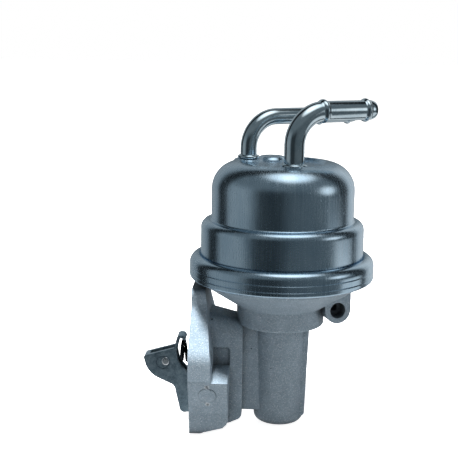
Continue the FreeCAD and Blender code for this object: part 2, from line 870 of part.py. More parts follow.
def rocker_arm():
    """Folded arm: two side plates joined by a web along the cam face, with eye, tail and spring tab."""
    arm = side_prism(arm_outline(), arm_half_width)
    arm = arm.fuse(cross_bar(arm_eye, pivot_x, pivot_z, -arm_half_width, arm_half_width))
    tail = [
        (pivot_x, pivot_z + arm_tail_top, 0),
        (pivot_x + arm_tail, pivot_z + arm_tail_top - 2, 1.5),
        (pivot_x + arm_tail, pivot_z - arm_tail_half_height, 1.0),
        (pivot_x, pivot_z - arm_tail_half_height, 0),
    ]
    arm = arm.fuse(side_prism(tail, arm_half_width))
    far_x = pivot_x + arm_tail - arm_sheet
    hollow = offset_path(arm_face, arm_sheet)
    hollow[0] = (hollow[0][0], 20, 0)
    hollow = hollow[:-1] + [(hollow[-1][0] + 1.2, -40, 0), (far_x, -40, 0), (far_x, 20, 0)]
    arm = arm.cut(side_prism(hollow, arm_half_width - arm_sheet))
    tab = side_prism(sheet(tab_path(), -tab_sheet), arm_half_width)
    arm = arm.fuse(tab)
    arm = arm.cut(cross_bar(pin_radius + bush_wall, pivot_x, pivot_z, -arm_half_width, arm_half_width))
    arm = arm.cut(cross_bar(cross_pin_radius, cross_pin_x, cross_pin_z, -arm_half_width, arm_half_width))
    for side in (-1, 1):
        start = side * arm_half_width - emboss_depth
        ring = cross_bar(emboss_radius, emboss_x, emboss_z, start, start + 2 * emboss_depth)
        ring = ring.cut(cross_bar(emboss_radius - emboss_width, emboss_x, emboss_z, start, start + 2 * emboss_depth))
        arm = arm.cut(ring)
    return arm.removeSplitter()


def arm_cross_pin():
    """Headed pin that ties the arm's plates together near the nose."""
    reach = arm_half_width + cross_pin_head
    pin = cross_bar(cross_pin_radius, cross_pin_x, cross_pin_z, -arm_half_width, arm_half_width)
    for start, end in ((-reach, -arm_half_width), (arm_half_width, reach)):
        head = cross_bar(cross_pin_head_radius, cross_pin_x, cross_pin_z, start, end)
        rim = [edge for edge in head.Edges if abs(abs(edge.CenterOfMass.y) - reach) < 0.01]
        pin = pin.fuse(head.makeFillet(cross_pin_head * 0.8, rim))
    return pin


def pivot_bush():
    """Plain bush pressed in the arm's eye."""
    bush = cross_bar(pin_radius + bush_wall, pivot_x, pivot_z, -arm_half_width, arm_half_width)
    bore = cross_bar(pin_radius + running_gap, pivot_x, pivot_z, -arm_half_width, arm_half_width)
    return bush.cut(bore)


def pivot_pin():
    """Hardened pin that the arm and the link turn on, held in the pivot block."""
    return cross_bar(pin_radius, pivot_x, pivot_z, -pin_half_length, pin_half_length)


def pivot_plug(side):
    """Staked plug over one end of the pivot bore."""
    start = pin_half_length + loose_gap
    plug = cross_bar(plug_radius - press_gap, pivot_x, pivot_z, start, ear_y + ear_radius)
    wall = front_prism(flange_outline(), 0, block_depth)
    wall.translate(V(0, plug_rise, 0))
    plug = plug.common(wall)
    if side < 0:
        plug = plug.mirror(V(), V(0, 1, 0))
    return plug


def link_lever():
    """Link of two plates and a web: it turns on the pivot pin, and its fork pulls the rod's collar."""
    tip_x = pivot_x + lever_reach
    gap = arm_half_width + running_gap
    outer = gap + link_sheet
    bar = [
        (pivot_x, pivot_z + link_eye - 1, 0),
        (tip_x, pivot_z + link_tip - 0.4, 0),
        (tip_x, pivot_z - link_tip + 0.4, 0),
        (pivot_x + link_web_end, pivot_z - link_tip + 0.4, 0),
        (pivot_x, pivot_z - link_eye + 1, 0),
    ]
    link = side_prism(bar, outer)
    link = link.fuse(cross_bar(link_eye, pivot_x, pivot_z, -outer, outer))
    link = link.fuse(cross_bar(link_tip, tip_x, pivot_z, -outer, outer))
    hollow = side_prism([
        (pivot_x - 2 * link_eye, pivot_z + 2 * link_eye, 0),
        (tip_x + 2 * link_tip, pivot_z + 2 * link_eye, 0),
        (tip_x + 2 * link_tip, pivot_z - 2 * link_eye, 0),
        (pivot_x - 2 * link_eye, pivot_z - 2 * link_eye, 0),
    ], gap)
    link = link.cut(hollow)
    web_top = pivot_z - arm_tail_half_height - running_gap
    web = side_prism([
        (pivot_x + link_web_start, web_top, 0),
        (pivot_x + link_web_end, web_top, 0),
        (pivot_x + link_web_end, web_top - link_sheet, 0),
        (pivot_x + link_web_start, web_top - link_sheet, 0),
    ], outer)
    link = link.fuse(web)
    return link.cut(cross_bar(pin_radius + running_gap, pivot_x, pivot_z, -outer, outer)).removeSplitter()


def return_spring():
    """Coil spring between the arm's tab and the housing's end wall."""
    length = cavity_depth - return_spring_start
    spring = coil(return_spring_radius, return_spring_wire, length, return_spring_turns)
    spring.rotate(V(), V(0, 1, 0), 90)
    spring.translate(V(return_spring_start, 0, return_spring_z))
    return spring


def make_all():
    """Every piece of the pump by its name."""
    upper_plate, lower_plate = diaphragm_plates()
    pieces = {
        "lower_body": lower_body(),
        "cover": cover(),
        "crimp_ring": crimp_ring(),
        "inlet_pipe": inlet_pipe(),
        "outlet_pipe": outlet_pipe(),
        "cover_seal": cover_seal(),
        "valve_body": valve_body(),
        "outlet_cup": outlet_cup(),
        "diaphragm": diaphragm(),
        "upper_plate": upper_plate,
        "lower_plate": lower_plate,
        "pull_rod": pull_rod(),
        "rod_nut": rod_nut_washer(),
        "rod_collar": rod_end_collar(),
        "rod_seal": rod_seal(),
        "seal_retainer": seal_retainer(),
        "diaphragm_spring": diaphragm_spring(),
        "rocker_arm": rocker_arm(),
        "arm_cross_pin": arm_cross_pin(),
        "pivot_bush": pivot_bush(),
        "pivot_pin": pivot_pin(),
        "pivot_plug_front": pivot_plug(-1),
        "pivot_plug_rear": pivot_plug(1),
        "link_lever": link_lever(),
        "return_spring": return_spring(),
    }
    valves = (("inlet", -outlet_x, -outlet_y, -1), ("outlet", outlet_x, outlet_y, 1))
    for name, x, y, flow in valves:
        seat, disc, spring, stem = valve_pieces(x, y, flow)
        pieces[name + "_valve_seat"] = seat
        pieces[name + "_valve_disc"] = disc
        pieces[name + "_valve_spring"] = spring
        pieces[name + "_valve_stem"] = stem
    return pieces


os.makedirs("parts", exist_ok=True)
for name, shape in make_all().items():
    shape.exportStep("parts/" + name + ".step")
    print(name, shape.isValid(), len(shape.Solids), round(shape.Volume, 1))
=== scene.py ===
from math import cos, pi, radians, sin, sqrt, tan

import bmesh
import bpy
from mathutils import Matrix, Vector


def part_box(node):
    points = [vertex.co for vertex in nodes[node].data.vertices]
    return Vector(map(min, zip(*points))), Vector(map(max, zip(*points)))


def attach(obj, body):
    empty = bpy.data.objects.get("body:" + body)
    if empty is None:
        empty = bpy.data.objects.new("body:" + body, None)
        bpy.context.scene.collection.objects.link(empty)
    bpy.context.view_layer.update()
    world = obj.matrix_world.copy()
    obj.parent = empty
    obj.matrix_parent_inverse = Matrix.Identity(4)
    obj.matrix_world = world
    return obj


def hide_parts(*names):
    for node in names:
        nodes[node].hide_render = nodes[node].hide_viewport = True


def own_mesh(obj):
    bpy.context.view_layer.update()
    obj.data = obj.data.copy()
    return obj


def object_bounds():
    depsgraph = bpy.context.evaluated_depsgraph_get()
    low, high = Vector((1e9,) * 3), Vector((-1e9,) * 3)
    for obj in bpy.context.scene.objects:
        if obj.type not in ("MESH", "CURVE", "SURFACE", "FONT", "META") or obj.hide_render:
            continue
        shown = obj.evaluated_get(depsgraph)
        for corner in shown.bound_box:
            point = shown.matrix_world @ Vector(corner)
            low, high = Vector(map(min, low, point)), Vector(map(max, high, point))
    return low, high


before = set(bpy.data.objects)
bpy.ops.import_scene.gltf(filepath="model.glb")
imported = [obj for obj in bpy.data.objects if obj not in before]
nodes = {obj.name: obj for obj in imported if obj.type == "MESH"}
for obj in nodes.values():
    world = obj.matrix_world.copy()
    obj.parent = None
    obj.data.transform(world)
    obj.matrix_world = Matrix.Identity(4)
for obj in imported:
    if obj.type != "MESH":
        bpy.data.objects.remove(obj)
cad_low, cad_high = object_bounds()

# Lower body: one aluminium die casting with the bowl, column, rocker housing, flange and lug.
# It is shot-blasted, so it is matte grey with a fine grain, a few blow holes and
# softly rounded edges. Its colour holds painted light too: near-white painted glints on the
# grain's facets, and painted shade in the blow holes and in hollows, creases and holes.
# Staking the pivot's plugs has left bright bruises beside them.
MM = 0.001
pivot_x = 9.1 * MM
pivot_z = -16.2 * MM
stake_reach = 5.0 * MM
pore_and_painted_shade_grey = (0.03, 0.035, 0.04)


def paint(name):
    """New node material: its tree, shader and the object's own coordinates."""
    material = bpy.data.materials.new(name)
    material.use_nodes = True
    tree = material.node_tree
    place = tree.nodes.new("ShaderNodeTexCoord").outputs["Object"]
    return material, tree, tree.nodes["Principled BSDF"], place


def grain(tree, place, size, stretch=(1, 1, 1), detail=3.0, roughness=0.55):
    """Noise of a feature size in metres, drawn out along an axis by a small stretch."""
    fit = tree.nodes.new("ShaderNodeMapping")
    fit.inputs["Scale"].default_value = [s / size for s in stretch]
    noise = tree.nodes.new("ShaderNodeTexNoise")
    noise.inputs["Scale"].default_value = 1.0
    noise.inputs["Detail"].default_value = detail
    noise.inputs["Roughness"].default_value = roughness
    tree.links.new(place, fit.inputs["Vector"])
    tree.links.new(fit.outputs["Vector"], noise.inputs["Vector"])
    return noise.outputs["Fac"]


def spots(tree, place, spacing, width, kept=1.0):
    """Small round spots about spacing apart, 1 inside and 0 outside; kept is the share that shows."""
    fit = tree.nodes.new("ShaderNodeMapping")
    fit.inputs["Scale"].default_value = [1 / spacing] * 3
    cells = tree.nodes.new("ShaderNodeTexVoronoi")
    cells.inputs["Scale"].default_value = 1.0
    tree.links.new(place, fit.inputs["Vector"])
    tree.links.new(fit.outputs["Vector"], cells.inputs["Vector"])
    inside = spread(tree, cells.outputs["Distance"], width / spacing, 0.5 * width / spacing, 0.0, 1.0)
    chosen = tree.nodes.new("ShaderNodeSeparateColor")
    tree.links.new(cells.outputs["Color"], chosen.inputs["Color"])
    shown = spread(tree, chosen.outputs["Red"], kept, kept - 0.01, 0.0, 1.0)
    return times(tree, inside, shown)


def spread(tree, value, low, high, out_low, out_high):
    """Value carried from one range to another and held at its ends."""
    ramp = tree.nodes.new("ShaderNodeMapRange")
    ramp.inputs["From Min"].default_value = low
    ramp.inputs["From Max"].default_value = high
    ramp.inputs["To Min"].default_value = out_low
    ramp.inputs["To Max"].default_value = out_high
    tree.links.new(value, ramp.inputs["Value"])
    return ramp.outputs["Result"]


def reckon(tree, operation, *values):
    """Result of one Math node."""
    node = tree.nodes.new("ShaderNodeMath")
    node.operation = operation
    for socket, value in zip(node.inputs, values):
        if isinstance(value, (int, float)):
            socket.default_value = value
        else:
            tree.links.new(value, socket)
    return node.outputs[0]


def times(tree, a, b):
    return reckon(tree, "MULTIPLY", a, b)


def plus(tree, a, b):
    return reckon(tree, "ADD", a, b)


def minus(tree, a, b):
    return reckon(tree, "SUBTRACT", a, b)


def tint(tree, share, low, high):
    """Colour between two by a share. Each of the two is a colour or a node's output."""
    mix = tree.nodes.new("ShaderNodeMix")
    mix.data_type = "RGBA"
    for socket, colour in (("A", low), ("B", high)):
        if isinstance(colour, tuple):
            mix.inputs[socket].default_value = (*colour, 1)
        else:
            tree.links.new(colour, mix.inputs[socket])
    tree.links.new(share, mix.inputs["Factor"])
    return mix.outputs["Result"]


def relief(tree, height, depth, edge=0.0):
    """Bump of a depth in metres, over edges that are softened by a radius in metres."""
    bump = tree.nodes.new("ShaderNodeBump")
    bump.inputs["Distance"].default_value = depth
    tree.links.new(height, bump.inputs["Height"])
    if edge:
        soft = tree.nodes.new("ShaderNodeBevel")
        soft.samples = 6
        soft.inputs["Radius"].default_value = edge
        tree.links.new(soft.outputs["Normal"], bump.inputs["Normal"])
    return bump.outputs["Normal"]


def stake_bruises(tree, place, fine):
    """Share of bright bruise round the places above and below the pivot."""
    apart = tree.nodes.new("ShaderNodeSeparateXYZ")
    tree.links.new(place, apart.inputs[0])
    off_x = minus(tree, apart.outputs["X"], pivot_x)
    off_z = reckon(tree, "ABSOLUTE", minus(tree, apart.outputs["Z"], pivot_z))
    off_z = minus(tree, off_z, stake_reach)
    off = reckon(tree, "SQRT", plus(tree, times(tree, off_x, off_x), times(tree, off_z, off_z)))
    near = spread(tree, off, 1.5 * MM, 0.7 * MM, 0, 1)
    return times(tree, near, spread(tree, fine, 0.40, 0.55, 0.2, 1.0))


def cast_metal():
    material, tree, shader, place = paint("die_cast_aluminium")
    shader.inputs["Metallic"].default_value = 0.25
    fine = grain(tree, place, 0.75 * MM, detail=2.0)
    coarse = grain(tree, place, 6 * MM, detail=4.0)
    pores = spots(tree, place, 9 * MM, 0.55 * MM, kept=0.35)
    facets_and_painted_glints = spots(tree, place, 0.6 * MM, 0.26 * MM, kept=0.5)
    mottle = plus(tree, times(tree, fine, 0.6), times(tree, coarse, 0.4))
    tone = tint(tree, spread(tree, mottle, 0.35, 0.65, 0, 1), (0.235, 0.305, 0.365), (0.35, 0.44, 0.515))
    # The blow holes are real pits; their near-black colour is painted shade inside them.
    tone = tint(tree, pores, tone, pore_and_painted_shade_grey)
    # The facet spots are lightened towards near-white: painted glints.
    tone = tint(tree, times(tree, facets_and_painted_glints, 0.4), tone, (0.86, 0.90, 0.93))
    # Ambient occlusion darkens hollows, creases and holes towards near-black: painted shade.
    painted_shade_ao = tree.nodes.new("ShaderNodeAmbientOcclusion")
    painted_shade_ao.samples = 8
    painted_shade_ao.inputs["Distance"].default_value = 9 * MM
    unshaded_share = spread(tree, painted_shade_ao.outputs["AO"], 0.15, 0.75, 0.08, 1.0)
    tone = tint(tree, unshaded_share, pore_and_painted_shade_grey, tone)
    tone = tint(tree, stake_bruises(tree, place, fine), tone, (0.80, 0.84, 0.87))
    tree.links.new(tone, shader.inputs["Base Color"])
    dull = spread(tree, fine, 0.3, 0.7, 0.46, 0.66)
    tree.links.new(minus(tree, dull, times(tree, facets_and_painted_glints, 0.2)), shader.inputs["Roughness"])
    height = plus(tree, times(tree, fine, 0.5), times(tree, facets_and_painted_glints, 0.35))
    height = plus(tree, height, times(tree, pores, -3.0))
    tree.links.new(relief(tree, height, 0.19 * MM, 0.8 * MM), shader.inputs["Normal"])
    return material


def finish_node(name, material):
    nodes[name].data.materials.clear()
    nodes[name].data.materials.append(material)


casting = cast_metal()
finish_node("lower_body", casting)

# Pivot: a ground steel pin across the housing, a bronze bush in the arm's eye, and two
# aluminium plugs over the pin's ends, staked in the casting and blasted with it.


def turned_steel(name, low, high, dull_low, dull_high, streak):
    """Machined or drawn steel with lines around or along it by the streak's stretch."""
    material, tree, shader, place = paint(name)
    shader.inputs["Metallic"].default_value = 1.0
    lines = grain(tree, place, 0.35 * MM, streak, detail=2.0)
    blotch = grain(tree, place, 5 * MM, detail=3.0)
    tree.links.new(tint(tree, spread(tree, blotch, 0.35, 0.65, 0, 1), low, high), shader.inputs["Base Color"])
    tree.links.new(spread(tree, lines, 0.3, 0.7, dull_low, dull_high), shader.inputs["Roughness"])
    tree.links.new(relief(tree, lines, 0.012 * MM, 0.25 * MM), shader.inputs["Normal"])
    return material


plain_steel = turned_steel("turned_steel", (0.42, 0.43, 0.44), (0.58, 0.59, 0.60), 0.25, 0.40, (1, 1, 0.05))
bronze = turned_steel("plain_bronze", (0.45, 0.30, 0.14), (0.60, 0.43, 0.22), 0.25, 0.42, (1, 1, 0.2))
pin_steel = turned_steel("ground_pin_steel", (0.5, 0.5, 0.52), (0.62, 0.63, 0.65), 0.12, 0.25, (1, 0.05, 1))
finish_node("pivot_pin", pin_steel)
finish_node("pivot_bush", bronze)
finish_node("pivot_plug_front", casting)
finish_node("pivot_plug_rear", casting)

# Rocker arm and link: folded from thick sheet, case-hardened and oiled, so they are dark
# blue-grey and mottled. A headed cross pin, bright on its head, ties the arm's nose.


def hardened_sheet():
    material, tree, shader, place = paint("hardened_sheet_steel")
    shader.inputs["Metallic"].default_value = 0.85
    cloud = grain(tree, place, 4 * MM, detail=5.0, roughness=0.65)
    speck = grain(tree, place, 0.5 * MM, detail=3.0)
    mottle = spread(tree, plus(tree, times(tree, cloud, 0.7), times(tree, speck, 0.3)), 0.38, 0.62, 0, 1)
    tree.links.new(tint(tree, mottle, (0.095, 0.14, 0.175), (0.225, 0.30, 0.35)), shader.inputs["Base Color"])
    tree.links.new(spread(tree, speck, 0.3, 0.7, 0.30, 0.48), shader.inputs["Roughness"])
    tree.links.new(relief(tree, mottle, 0.03 * MM, 0.5 * MM), shader.inputs["Normal"])
    return material


hardened = hardened_sheet()
finish_node("rocker_arm", hardened)
finish_node("link_lever", hardened)
bright_head = turned_steel("bright_pin_head", (0.66, 0.68, 0.70), (0.80, 0.82, 0.84), 0.14, 0.24, (1, 1, 1))
finish_node("arm_cross_pin", bright_head)

# Springs: round wire coils with closed ends. The arm's return spring is black, and the
# diaphragm's and the valves' springs are plain oiled steel wire.
axis_x = 42.5 * MM


def new_tree(name, sizes):
    """Geometry node tree with a geometry, the named sizes and a finish as its inputs."""
    tree = bpy.data.node_groups.new(name, "GeometryNodeTree")
    tree.interface.new_socket("Geometry", in_out="OUTPUT", socket_type="NodeSocketGeometry")
    tree.interface.new_socket("Geometry", in_out="INPUT", socket_type="NodeSocketGeometry")
    for size in sizes:
        tree.interface.new_socket(size, in_out="INPUT", socket_type="NodeSocketFloat")
    tree.interface.new_socket("Finish", in_out="INPUT", socket_type="NodeSocketMaterial")
    given = tree.nodes.new("NodeGroupInput").outputs
    out = tree.nodes.new("NodeGroupOutput")
    return tree, given, out


def spring_tree():
    """Nodes that wind one coil along +Z, with the end coils closed up."""
    tree, given, out = new_tree("wound_spring", ("Radius", "Wire", "Length", "Turns"))
    half_wire = times(tree, given["Wire"], 0.5)
    rise = minus(tree, given["Length"], given["Wire"])
    helix = tree.nodes.new("GeometryNodeCurveSpiral")
    helix.inputs["Resolution"].default_value = 40
    tree.links.new(given["Turns"], helix.inputs["Rotations"])
    tree.links.new(given["Radius"], helix.inputs["Start Radius"])
    tree.links.new(given["Radius"], helix.inputs["End Radius"])
    tree.links.new(rise, helix.inputs["Height"])
    part = tree.nodes.new("GeometryNodeSplineParameter").outputs["Factor"]
    pitch = tree.nodes.new("ShaderNodeFloatCurve")
    curve = pitch.mapping.curves[0]
    for point, place in zip(curve.points, ((0.0, 0.0), (1.0, 1.0))):
        point.location = place
    for place in ((0.14, 0.045), (0.24, 0.16), (0.76, 0.84), (0.86, 0.955)):
        curve.points.new(*place)
    pitch.mapping.update()
    tree.links.new(part, pitch.inputs["Value"])
    where = tree.nodes.new("GeometryNodeInputPosition").outputs[0]
    apart = tree.nodes.new("ShaderNodeSeparateXYZ")
    tree.links.new(where, apart.inputs[0])
    height = plus(tree, times(tree, pitch.outputs[0], rise), half_wire)
    joined = tree.nodes.new("ShaderNodeCombineXYZ")
    tree.links.new(apart.outputs["X"], joined.inputs["X"])
    tree.links.new(apart.outputs["Y"], joined.inputs["Y"])
    tree.links.new(height, joined.inputs["Z"])
    settle = tree.nodes.new("GeometryNodeSetPosition")
    tree.links.new(helix.outputs[0], settle.inputs["Geometry"])
    tree.links.new(joined.outputs[0], settle.inputs["Position"])
    section = tree.nodes.new("GeometryNodeCurvePrimitiveCircle")
    section.inputs["Resolution"].default_value = 14
    tree.links.new(half_wire, section.inputs["Radius"])
    wire = tree.nodes.new("GeometryNodeCurveToMesh")
    wire.inputs["Fill Caps"].default_value = True
    tree.links.new(settle.outputs[0], wire.inputs["Curve"])
    tree.links.new(section.outputs[0], wire.inputs["Profile Curve"])
    smooth = tree.nodes.new("GeometryNodeSetShadeSmooth")
    tree.links.new(wire.outputs[0], smooth.inputs["Geometry"])
    end_tree(tree, smooth.outputs[0], given["Finish"], out)
    return tree


def end_tree(tree, geometry, finish, out):
    """Realize Instances and Set Material before the group's output."""
    whole = tree.nodes.new("GeometryNodeRealizeInstances")
    dressed = tree.nodes.new("GeometryNodeSetMaterial")
    tree.links.new(geometry, whole.inputs["Geometry"])
    tree.links.new(whole.outputs[0], dressed.inputs["Geometry"])
    tree.links.new(finish, dressed.inputs["Material"])
    tree.links.new(dressed.outputs[0], out.inputs["Geometry"])


def made_by(tree, name, start, given):
    """Mesh that a node tree makes from a starting mesh or curve and its named inputs."""
    maker = bpy.data.objects.new(name + "_maker", start)
    bpy.context.scene.collection.objects.link(maker)
    modifier = maker.modifiers.new("make", "NODES")
    modifier.node_group = tree
    for item in tree.interface.items_tree:
        if item.in_out == "INPUT" and item.name in given:
            modifier[item.identifier] = given[item.name]
    maker.update_tag()
    bpy.context.view_layer.update()
    made = bpy.data.meshes.new_from_object(maker.evaluated_get(bpy.context.evaluated_depsgraph_get()))
    maker.modifiers.remove(modifier)
    bpy.data.objects.remove(maker)
    return made


def stand_for(piece, node, body):
    """The piece shows in place of a CAD node, on that node's body."""
    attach(piece, body)
    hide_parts(node)


wind = spring_tree()
black_wire = turned_steel("black_spring_wire", (0.012, 0.013, 0.016), (0.035, 0.037, 0.042), 0.28, 0.42,
                          (1, 1, 1))
spring_steel = turned_steel("oiled_spring_wire", (0.20, 0.20, 0.21), (0.34, 0.34, 0.35), 0.25, 0.38,
                            (1, 1, 1))


def spring(node, radius, wire, turns, finish, along):
    """One spring in its node's box."""
    low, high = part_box(node)
    middle = (low + high) / 2
    length = (high - low).dot(along)
    start = middle - along * (length / 2)
    sizes = {"Radius": radius * MM, "Wire": wire * MM, "Length": length, "Turns": turns, "Finish": finish}
    mesh = made_by(wind, node, bpy.data.meshes.new(node + "_start"), sizes)
    mesh.transform(Matrix.Translation(start) @ along.to_track_quat("Z", "Y").to_matrix().to_4x4())
    piece = bpy.data.objects.new(node + "_coil", mesh)
    bpy.context.scene.collection.objects.link(piece)
    stand_for(piece, node, "housing")
    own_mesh(piece)


upright = Vector((0, 0, 1))
spring("return_spring", radius=5.0, wire=1.7, turns=6.5, finish=black_wire,
       along=Vector((1, 0, 0)))
spring("diaphragm_spring", radius=12.0, wire=2.2, turns=6.0, finish=spring_steel,
       along=upright)
for valve in ("inlet", "outlet"):
    spring(valve + "_valve_spring", radius=2.5, wire=0.45, turns=4.5, finish=spring_steel,
           along=upright)

# Diaphragm set: a rubber-coated fabric disc between two dished steel plates, riveted to the
# pull rod. The rod runs down the column through a rubber seal under a pressed washer.


def moulded_rubber(name, low, high, weave=0.0):
    material, tree, shader, place = paint(name)
    shader.inputs["Specular IOR Level"].default_value = 0.35
    cloud = grain(tree, place, 3 * MM, detail=3.0)
    height = grain(tree, place, 0.4 * MM, detail=2.0)
    if weave:
        apart = tree.nodes.new("ShaderNodeSeparateXYZ")
        tree.links.new(place, apart.inputs[0])
        for way in ("X", "Y"):
            thread = reckon(tree, "SINE", times(tree, apart.outputs[way], 2 * pi / weave))
            height = plus(tree, height, times(tree, thread, 0.5))
    tree.links.new(tint(tree, spread(tree, cloud, 0.35, 0.65, 0, 1), low, high), shader.inputs["Base Color"])
    tree.links.new(spread(tree, cloud, 0.3, 0.7, 0.55, 0.75), shader.inputs["Roughness"])
    tree.links.new(relief(tree, height, 0.03 * MM), shader.inputs["Normal"])
    return material


black_rubber = moulded_rubber("black_rubber", (0.012, 0.012, 0.013), (0.03, 0.03, 0.032))
coated_fabric = moulded_rubber("coated_fabric", (0.04, 0.03, 0.025), (0.075, 0.055, 0.045), weave=0.8 * MM)
finish_node("diaphragm", coated_fabric)
finish_node("rod_seal", black_rubber)
for name in ("upper_plate", "lower_plate", "pull_rod", "rod_nut", "rod_collar", "seal_retainer"):
    finish_node(name, plain_steel)

# Valves: a cast disc holds two bronze seats with a ring of holes. On each sits a rubber disc
# under a light spring, kept by a headed stem. A drawn cup parts the outlet chamber off.
finish_node("valve_body", casting)
finish_node("cover_seal", black_rubber)
finish_node("outlet_cup", plain_steel)
valve_rubber = moulded_rubber("valve_rubber", (0.03, 0.022, 0.018), (0.055, 0.045, 0.04))
for valve in ("inlet", "outlet"):
    finish_node(valve + "_valve_seat", bronze)
    finish_node(valve + "_valve_stem", bronze)
    finish_node(valve + "_valve_disc", valve_rubber)

# Cover: deep-drawn steel cup with a step, a recessed top and a pressed hump, zinc plated
# with a blue tint. The drawing leaves fine upright lines on its walls, and small pits.
ring_z = 41.0 * MM


def plated_steel(name, dull, deep):
    """Blue zinc plate over drawn steel, with draw lines along Z round the pump's axis."""
    material, tree, shader, place = paint(name)
    shader.inputs["Metallic"].default_value = 1.0
    fit = tree.nodes.new("ShaderNodeMapping")
    fit.inputs["Location"].default_value = (-axis_x, 0, 0)
    tree.links.new(place, fit.inputs["Vector"])
    apart = tree.nodes.new("ShaderNodeSeparateXYZ")
    tree.links.new(fit.outputs["Vector"], apart.inputs[0])
    turn = reckon(tree, "ARCTAN2", apart.outputs["Y"], apart.outputs["X"])
    ring = tree.nodes.new("ShaderNodeCombineXYZ")
    tree.links.new(reckon(tree, "COSINE", turn), ring.inputs["X"])
    tree.links.new(reckon(tree, "SINE", turn), ring.inputs["Y"])
    tree.links.new(times(tree, apart.outputs["Z"], 0.4), ring.inputs["Z"])
    lines = grain(tree, ring.outputs[0], 0.008, (1, 1, 0.9), detail=4.0, roughness=0.6)
    blotch = grain(tree, place, 9 * MM, (1, 1, 0.5), detail=5.0, roughness=0.6)
    speck = grain(tree, place, 0.45 * MM, detail=2.0)
    pits = spots(tree, place, 2.6 * MM, 0.45 * MM, kept=0.25)
    tone = spread(tree, plus(tree, times(tree, blotch, 0.5), times(tree, lines, 0.5)), 0.36, 0.64, 0, 1)
    tree.links.new(tint(tree, tone, (0.42, 0.56, 0.68), (0.62, 0.76, 0.87)), shader.inputs["Base Color"])
    rough = plus(tree, spread(tree, lines, 0.3, 0.7, dull - 0.05, dull + 0.09),
                 spread(tree, speck, 0.4, 0.7, 0.0, 0.08))
    tree.links.new(rough, shader.inputs["Roughness"])
    height = plus(tree, times(tree, speck, 0.40), times(tree, pits, -1.6))
    height = plus(tree, times(tree, lines, 0.8), height)
    tree.links.new(relief(tree, height, deep), shader.inputs["Normal"])
    return material


def revolved(name, outline, material, segments=288, shape=None):
    """Smooth closed mesh turned round the pump's axis from an outline (r, h) in millimetres."""
    points = []
    faces = []
    for i in range(segments):
        turn = 2 * pi * i / segments
        for r, h in outline:
            point = (r * cos(turn), r * sin(turn), h)
            points.append(shape(*point) if shape else point)
    count = len(outline)
    for i in range(segments):
        a = i * count
        b = (i + 1) % segments * count
        for j in range(count):
            k = (j + 1) % count
            faces.append((a + j, b + j, b + k, a + k))
    mesh = bpy.data.meshes.new(name)
    mesh.from_pydata([(axis_x + x * MM, y * MM, ring_z + z * MM) for x, y, z in points], [], faces)
    return smooth_piece(name, mesh, material)


def smooth_piece(name, mesh, material):
    """Object from a mesh: doubles merged, faces outwards, smooth but for its sharp edges."""
    work = bmesh.new()
    work.from_mesh(mesh)
    bmesh.ops.remove_doubles(work, verts=work.verts, dist=0.00001)
    bmesh.ops.dissolve_degenerate(work, edges=work.edges, dist=0.000005)
    bmesh.ops.recalc_face_normals(work, faces=work.faces)
    for face in work.faces:
        face.smooth = True
    for edge in work.edges:
        edge.smooth = len(edge.link_faces) == 2 and edge.calc_face_angle(0) < radians(35)
    work.to_mesh(mesh)
    work.free()
    mesh.materials.append(material)
    piece = bpy.data.objects.new(name, mesh)
    bpy.context.scene.collection.objects.link(piece)
    return piece


def rounded_line(corners, arc):
    """Points along corners (r, h, radius), each rounded in arc steps, and long runs divided."""
    step = 0.5
    line = []
    for i, (r, h, radius) in enumerate(corners):
        here = Vector((r, h))
        if not radius:
            line.append(here)
            continue
        back = (Vector(corners[i - 1][:2]) - here).normalized()
        ahead = (Vector(corners[i + 1][:2]) - here).normalized()
        half = back.angle(ahead) / 2
        centre = here + (back + ahead).normalized() * (radius / sin(half))
        start = here + back * (radius / tan(half)) - centre
        end = here + ahead * (radius / tan(half)) - centre
        sweep = start.angle_signed(end)
        for k in range(arc + 1):
            turn = -sweep * k / arc
            line.append(centre + Vector((start.x * cos(turn) - start.y * sin(turn),
                                         start.x * sin(turn) + start.y * cos(turn))))
    full = [line[0]]
    for point in line[1:]:
        pieces = max(1, int((point - full[-1]).length / step))
        last = full[-1].copy()
        full += [last.lerp(point, (k + 1) / pieces) for k in range(pieces)]
    return full


def walled(line, thickness):
    """Closed outline of a sheet: the line and its copy, a thickness to the left of its run."""
    inner = []
    for i, point in enumerate(line):
        run = (line[min(i + 1, len(line) - 1)] - line[max(i - 1, 0)]).normalized()
        inner.append(point + Vector((-run.y, run.x)) * thickness)
    return [tuple(p) for p in line] + [tuple(p) for p in inner[::-1]]


def over(a, b, blend):
    """Larger of two heights, with a rounded join."""
    share = max(blend - abs(a - b), 0) / blend
    return max(a, b) + share * share * blend / 4


sheet_wall = 1.2
dome_wall = 34.2
dome_round = 13.0
rim_height = 50.6
rim_radius = 20.6
recess_radius = 19.4
recess_floor = 49.2
pressed_above = 30
hump_place = (-6.0, 19.0)
hump_top = 51.0
hump_flat = 4.9
hump_foot = 7.4
hump_blend = 1.0
pipe_seat = (-17.3, 13.6)
seat_height = 50.1
seat_radius = 8.0
seat_blend = 1.6


def cover_form(x, y, h):
    """Presses the hump and the outlet pipe's seat into the turned cover."""
    if h < pressed_above:
        return x, y, h
    hump_edge = sqrt((x - hump_place[0]) ** 2 + (y - hump_place[1]) ** 2)
    if hump_edge < hump_foot:
        top = hump_top - max(hump_edge - hump_flat, 0) ** 2 * 0.5
        h = over(h, top - sheet_under(x, y, h), hump_blend)
    seat_edge = sqrt((x - pipe_seat[0]) ** 2 + (y - pipe_seat[1]) ** 2)
    if seat_edge < seat_radius:
        share = min(max((seat_radius - seat_edge) / seat_blend, 0), 1)
        flat = seat_height - sheet_under(x, y, h)
        h = h + (flat - h) * share * share * (3 - 2 * share)
    return x, y, h


def sheet_under(x, y, h):
    """How far a point's own side of the sheet lies under the outer side."""
    return sheet_wall if h < cover_top(x, y) - sheet_wall / 2 else 0.0


